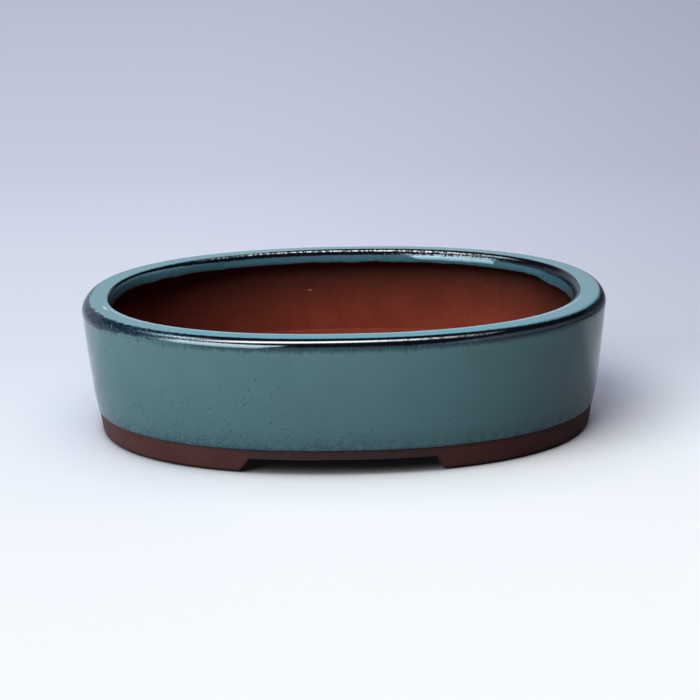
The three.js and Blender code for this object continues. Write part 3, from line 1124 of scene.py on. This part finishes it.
# Colours by how far behind the middle of the pot they lie, in metres.
FLOOR_TONES = [
    (-0.32, colour(250, 252, 254)),
    (-0.12, colour(243, 246, 250)),
    (0.12, colour(223, 229, 240)),
    (0.70, colour(201, 206, 222)),
    (2.60, colour(184, 190, 205)),
]
EYE_FROM_MIDDLE = 0.92
NEAREST_FLOOR = 0.5
SIDE_FALL = 0.28
SIDE_SHADE = colour(72, 25, 98)
SIDE_REACH = (-0.11, 0.29)
SIDE_BEHIND = (-0.03, 0.15)
CONTACT_REACH = 0.3
CONTACT_LEFT = 0.36
CONTACT_RIGHT = 0.04
CONTACT_TURN = (-0.12, 0.0)
CONTACT_TINT = colour(40, 40, 150)
UNDER_SHADE = 0.7
UNDER_TINT = colour(10, 10, 60)
UNDER_OPENNESS = (0.36, 0.54)

floor = add_plane("studio_floor", FLOOR_SIZE)
paper = Finish("pale_paper")
right, back, _ = paper.axes(paper.place())
stops = [((y - FALL_START) / (FALL_END - FALL_START), shade) for y, shade in FLOOR_TONES]
fall = (back - FALL_START) / (FALL_END - FALL_START)
# How far to the side a spot lies, beside how far it is from the camera.
sideways = right / (back + EYE_FROM_MIDDLE).at_least(NEAREST_FLOOR)
# The fall to the right is partly backdrop colour and partly painted shade beside the pot's shadow.
side_fall = SIDE_FALL * paper.step(sideways, *SIDE_REACH) * paper.step(back, *SIDE_BEHIND)
openness = paper.node("ShaderNodeAmbientOcclusion", {}, {"Distance": CONTACT_REACH}, "AO")
contact = blend(CONTACT_LEFT, CONTACT_RIGHT, paper.step(right, *CONTACT_TURN))
tone = paper.layered(
    paper.node("ShaderNodeValToRGB", {"stops": stops}, {"Fac": fall}),
    (side_fall, SIDE_SHADE),
    (contact * (1 - openness), CONTACT_TINT),
    (UNDER_SHADE * paper.fade(openness, *UNDER_OPENNESS), UNDER_TINT),
)
count_nodes("the colour of the floor", paper)

# %% [markdown]
# A white floor would throw much light back on the pot. In a studio, black cards keep that down. Here a
# Light Path node does: the camera sees the full colour, also through glass, mirrors see a share of it
# that changes round the pot, and other rays see almost none. A trace of glow for the camera lifts the
# deepest shade.

# %% The floor in mirrors and in shade
BLACK = (0.0, 0.0, 0.0, 1.0)
BOUNCE = 0.08
SHADE_FILL = 0.004
GLOSS_LEFT = 0.80
GLOSS_RIGHT = 0.45
GLOSS_TURN = (-0.05, 0.15)
GLOSS_BEHIND = 0.95
BEHIND_START = (-0.04, 0.07)
GLOSS_FAR_RIGHT = 0.35
FAR_BEHIND = (0.12, 0.30)
FAR_RIGHT = (0.0, 0.10)

gloss_share = blend(GLOSS_LEFT, GLOSS_RIGHT, paper.step(right, *GLOSS_TURN))
gloss_share = gloss_share.at_least(GLOSS_BEHIND * paper.step(back, *BEHIND_START))
far_right = paper.step(back, *FAR_BEHIND) * paper.step(right, *FAR_RIGHT)
gloss_share = gloss_share * blend(1, GLOSS_FAR_RIGHT, far_right)
seen_tone = paper.mix(paper.seen(gloss_share), paper.mix(BOUNCE, BLACK, tone), tone)
lit_paper = paper.node("ShaderNodeBsdfDiffuse", {}, {"Color": seen_tone})
fill = paper.node("ShaderNodeEmission", {}, {"Strength": SHADE_FILL * paper.ray("Is Camera Ray")})
paper.end_in(paper.node("ShaderNodeAddShader", {}, {0: lit_paper, 1: fill}))
floor.data.materials.append(paper.block)
count_nodes("the finished floor", paper)

# %% [markdown]
# Two soft lamps light the pot: one hangs over it, slightly to the front and left, and one stands in front
# at the left. Area lamps would do, but Sun lamps with a wide angle give the same soft shadows and light the
# far floor evenly. Mirrors don't see them.

# %% The lamps
TOP_LAMP = {"azimuth": -65, "elevation": 81, "light": 0.54, "angle": 84, "tint": (0.94, 0.955, 1.09)}
SIDE_LAMP = {"azimuth": -45, "elevation": 45, "light": 0.64, "angle": 50, "tint": (1.0, 1.01, 0.90)}
LAMP_DISTANCE = 2.0


def towards(azimuth, elevation):
    """The direction to a lamp. Azimuth 0 is at the front, and negative is to the left."""
    a = math.radians(azimuth)
    e = math.radians(elevation)
    return Vector((math.sin(a) * math.cos(e), -math.cos(a) * math.cos(e), math.sin(e)))


def facing(way):
    """The turn of a lamp or a card that stands off in a direction and faces the pot."""
    return way.to_track_quat("Z", "Y").to_euler()


def soft_lamp(name, azimuth, elevation, light, angle, tint):
    """A lamp that lights white paper held square to it to this share of white."""
    way = towards(azimuth, elevation)
    bpy.ops.object.light_add(type="SUN", location=LAMP_DISTANCE * way)
    lamp = bpy.context.object
    lamp.name = name
    lamp.rotation_euler = facing(way)
    lamp.data.energy = light * math.pi
    lamp.data.angle = math.radians(angle)
    lamp.data.color = tint
    lamp.visible_glossy = False
    print(f"{name} gives {lamp.data.energy:.2f} W/m2")


soft_lamp("top_lamp", **TOP_LAMP)
soft_lamp("side_lamp", **SIDE_LAMP)

# %% [markdown]
# Glass looks like glass by what it mirrors. Cards that only reflections see stand where a studio has its
# light boxes: a long one overhead draws the white line along the rim, one in front at the left draws the
# blue line under it, and one at the left draws a second line there. Black cards at the ceiling and at the
# right keep the rest of the edges dark, and a dim one lifts the far right corner.

# %% The cards
WHITE = (1.0, 1.0, 1.0, 1.0)
SKY_WHITE = (0.62, 0.88, 1.0, 1.0)
LYING = (0, 0, 0)
UPRIGHT = (0, math.radians(90), 0)
EDGE_FALL = (0.1, 0.5)
LOW_FALL = (-0.5, 0.2)


def reflection_card(name, place, turn, size, brightness=0.0, tint=BLACK, edge_share=1.0, low_share=1.0):
    """A card that only reflections see. The shares say how bright its edges and its lower end are."""
    card = add_plane(name, place=place)
    card.rotation_euler = turn
    card.scale = (size[0], size[1], 1)
    glow = Finish(name)
    card_place = glow.place()
    _, card_y, _ = glow.axes(card_place)
    from_middle = glow.node("ShaderNodeVectorMath", {"operation": "LENGTH"}, {0: card_place}, "Value")
    to_edge = blend(1, edge_share, glow.step(from_middle, *EDGE_FALL))
    to_low = blend(1, low_share, glow.fade(card_y, *LOW_FALL))
    strength = brightness * to_edge * to_low
    glow.end_in(glow.node("ShaderNodeEmission", {}, {"Color": tint, "Strength": strength}))
    card.data.materials.append(glow.block)
    card.visible_camera = False
    card.visible_diffuse = False
    card.visible_transmission = False
    card.visible_volume_scatter = False
    card.visible_shadow = False
    print(f"{name} is {size[0]} by {size[1]} m")


front_way = towards(-43, 27)
corner_way = towards(140, 12)
top_turn = (0, 0, math.radians(14))
reflection_card("top_card", (-0.28, -0.33, 2.0), top_turn, (2.8, 1.0), 33.0, WHITE, edge_share=0.08)
reflection_card("left_card", (-1.3, 0.1, 2.05), LYING, (1.1, 1.1), 24.0, SKY_WHITE, edge_share=0.05)
reflection_card("side_card", 2 * front_way, facing(front_way), (1.5, 1.25), 21.0, SKY_WHITE, low_share=0.4)
reflection_card("dark_ceiling", (0, 0, 2.6), LYING, (9.2, 9.2))
reflection_card("dark_side", (1.6, -0.4, 0.65), UPRIGHT, (1.3, 2.6))
reflection_card("dim_corner", 2.1 * corner_way, facing(corner_way), (1.7, 1.2), 0.13, SKY_WHITE)

# %% [markdown]
# The world's own light is almost nothing, so that the shade stays deep. The camera sees a grey where the
# floor ends, and mirrors see most of it, as they would see the walls of the room.

# %% The room's light
ROOM_LIGHT = (0.02, 0.02, 0.022, 1.0)
ROOM_SEEN = colour(186, 191, 206)
ROOM_IN_GLOSS = 0.75

room = Finish("studio_room", bpy.data.worlds)
room_tone = room.mix(room.seen(ROOM_IN_GLOSS), ROOM_LIGHT, ROOM_SEEN)
backdrop = room.node("ShaderNodeBackground", {}, {"Color": room_tone})
room.end_in(backdrop, "ShaderNodeOutputWorld")
bpy.context.scene.world = room.block
count_nodes("the room", room)

# %% [markdown]
# The camera looks down on the long side at a low angle, from nearly a metre away. Its numbers come from
# fitting the rim, the outline and the foot gap, and it leans by about a degree, as the picture does.

# %% The camera
CAMERA_ELEVATION = math.radians(15.253)
CAMERA_TURN = math.radians(0.9)
CAMERA_LEAN = math.radians(-1.18)
CAMERA_DISTANCE = 949.73 * MM
CAMERA_TARGET = Vector((2.53 * MM, 0, 33.17 * MM))
CAMERA_LENS = 98.69
SENSOR_WIDTH = 36.0
NEAREST_SEEN = 10 * MM

turn = Matrix.Rotation(CAMERA_TURN, 3, "Z")
backwards = Vector((0, -math.cos(CAMERA_ELEVATION), math.sin(CAMERA_ELEVATION)))
level = Vector((1, 0, 0))
over = backwards.cross(level)
sidewards = math.cos(CAMERA_LEAN) * level + math.sin(CAMERA_LEAN) * over
upwards = math.cos(CAMERA_LEAN) * over - math.sin(CAMERA_LEAN) * level
bpy.ops.object.camera_add()
camera = bpy.context.object
axes = turn @ Matrix((sidewards, upwards, backwards)).transposed()
stand = turn @ (CAMERA_TARGET + CAMERA_DISTANCE * backwards)
camera.matrix_world = Matrix.Translation(stand) @ axes.to_4x4()
camera.data.sensor_fit = "HORIZONTAL"
camera.data.sensor_width = SENSOR_WIDTH
camera.data.lens = CAMERA_LENS
camera.data.clip_start = NEAREST_SEEN
bpy.context.scene.camera = camera
bpy.context.scene.view_settings.view_transform = "Standard"
print(f"the camera stands at {tuple(round(value, 4) for value in camera.location)}")

# %% [markdown]
